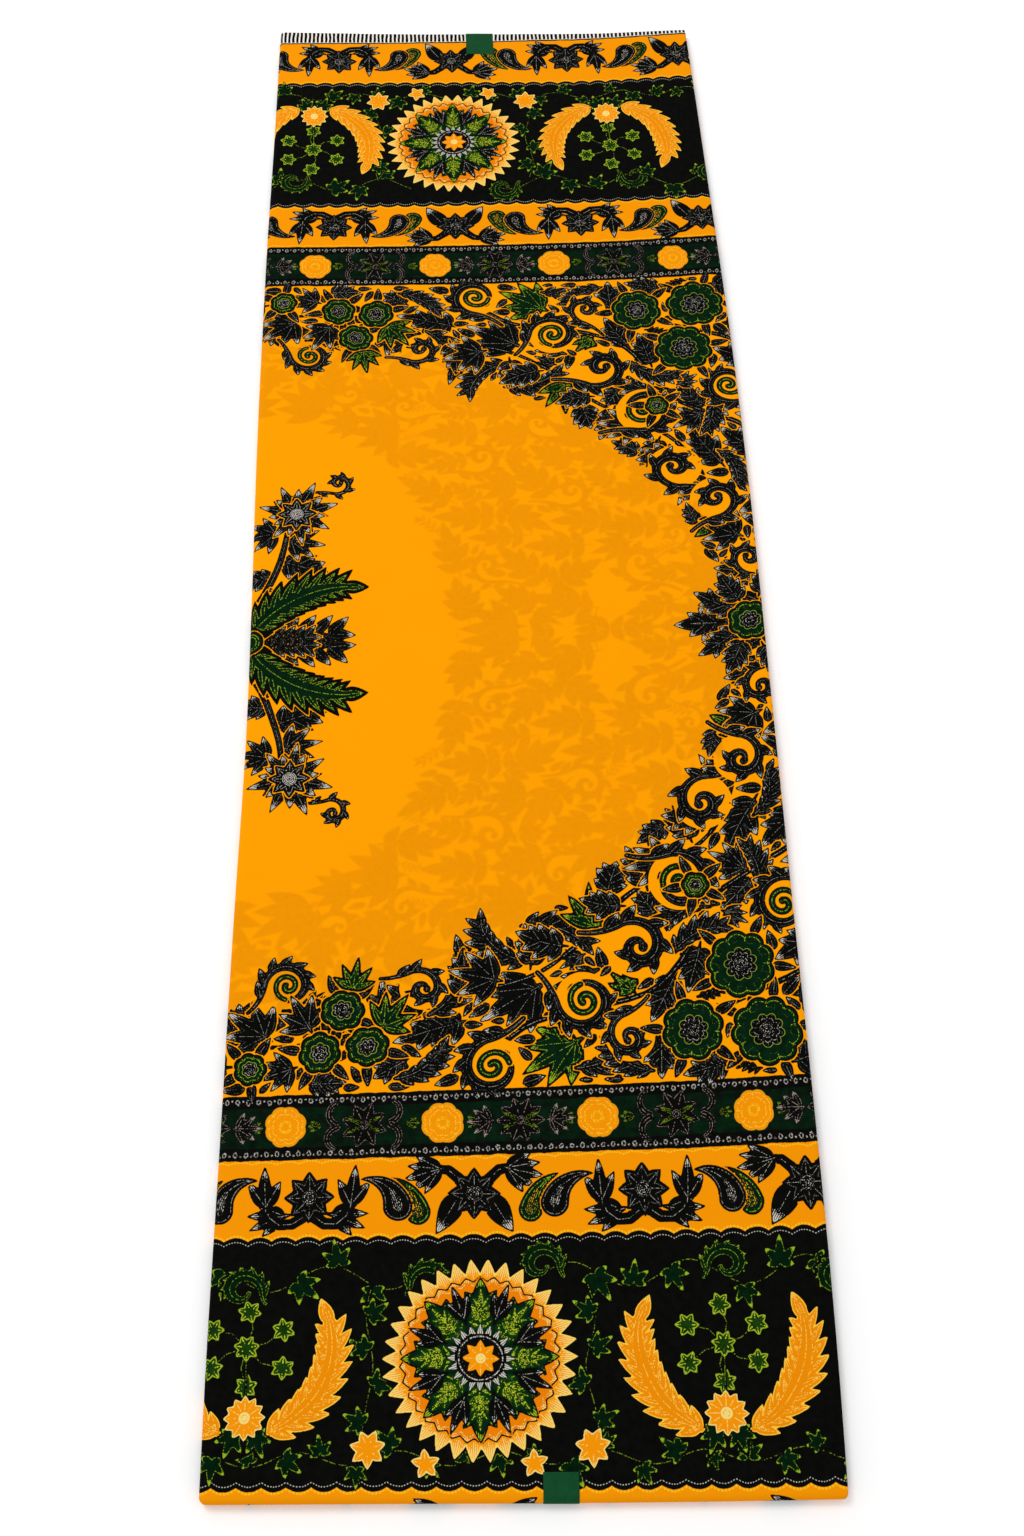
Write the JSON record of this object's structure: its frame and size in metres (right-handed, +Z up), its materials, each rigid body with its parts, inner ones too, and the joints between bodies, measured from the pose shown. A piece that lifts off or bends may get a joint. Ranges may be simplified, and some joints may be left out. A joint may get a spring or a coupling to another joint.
{
  "type": "folded wax print cotton fabric",
  "caption": "Folded length of wax print cotton lying flat, a long thin rounded pack with a bordered golden panel on top, folded edges and two blank labels.",
  "frame": {"origin": "on the flat underside, below the middle of the whole outline", "axes": "+X across the panel to its right folds, +Y along the panel from the near turned edge to the far striped selvedge, +Z up through the layers"},
  "size_m": [0.3534, 1.1242, 0.0087],
  "materials": {
    "printed_cotton": "smooth pressed cotton, golden ground printed in black, green, lime and cream, with a faint sheen",
    "cloth_edges": "stacked edges of printed cotton, matt",
    "label_far": "bare dark green label, matt",
    "label_near": "bare dark green label, matt"
  },
  "bodies": {
    "root": {"face_layer": "printed_cotton", "hidden_layers": "cloth_edges", "label_far": "label_far", "label_near": "label_near"}
  },
  "joints": []
}
